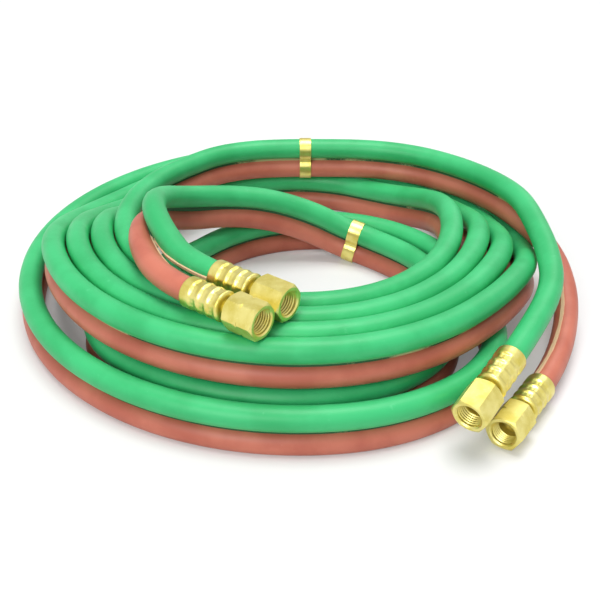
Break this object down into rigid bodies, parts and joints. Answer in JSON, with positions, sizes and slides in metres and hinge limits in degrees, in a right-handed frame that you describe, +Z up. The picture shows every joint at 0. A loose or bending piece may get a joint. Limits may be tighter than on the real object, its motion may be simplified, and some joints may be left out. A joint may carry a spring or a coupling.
{
  "type": "twin welding hose set",
  "caption": "Coiled twin gas hose, green above red, joined by brass bands, with a swivel nut on a crimped ferrule at each end.",
  "frame": {"origin": "middle of the footprint on the floor, under the coil", "axes": "+Z up out of the floor, +X to the right of the picture, -Y towards the viewer"},
  "size_m": [0.3326, 0.3478, 0.0797],
  "materials": {
    "green_rubber": "satin, smooth extruded cover",
    "red_rubber": "satin, smooth extruded cover",
    "brass": "bright machined and crimped"
  },
  "bodies": {
    "hose_set": {"green_hose_coil": "green_rubber", "green_hose_inner_end": "green_rubber", "green_hose_outer_end": "green_rubber", "red_hose_coil": "red_rubber", "red_hose_inner_end": "red_rubber", "red_hose_outer_end": "red_rubber", "crimped_ferrules": "brass", "nipples": "brass", "band_clips": "brass"},
    "green_inner_nut_body": {"green_inner_nut": "brass"},
    "red_inner_nut_body": {"red_inner_nut": "brass"},
    "green_outer_nut_body": {"green_outer_nut": "brass"},
    "red_outer_nut_body": {"red_outer_nut": "brass"}
  },
  "joints": [
    {"name": "green_inner_nut_swivel", "type": "hinge", "parent": "hose_set", "child": "green_inner_nut_body", "pos_m": [-0.00762, -0.12426, 0.0652], "axis": [0.7915, -0.6112, 0], "continuous": true},
    {"name": "red_inner_nut_swivel", "type": "hinge", "parent": "hose_set", "child": "red_inner_nut_body", "pos_m": [-0.02012, -0.14126, 0.0652], "axis": [0.7915, -0.6112, 0], "continuous": true},
    {"name": "green_outer_nut_swivel", "type": "hinge", "parent": "hose_set", "child": "green_outer_nut_body", "pos_m": [0.09077, -0.16115, 0.02703], "axis": [-0.5604, -0.8106, -0.1701], "continuous": true},
    {"name": "red_outer_nut_swivel", "type": "hinge", "parent": "hose_set", "child": "red_outer_nut_body", "pos_m": [0.10979, -0.15512, 0.0104], "axis": [-0.5593, -0.829, 0], "continuous": true}
  ]
}
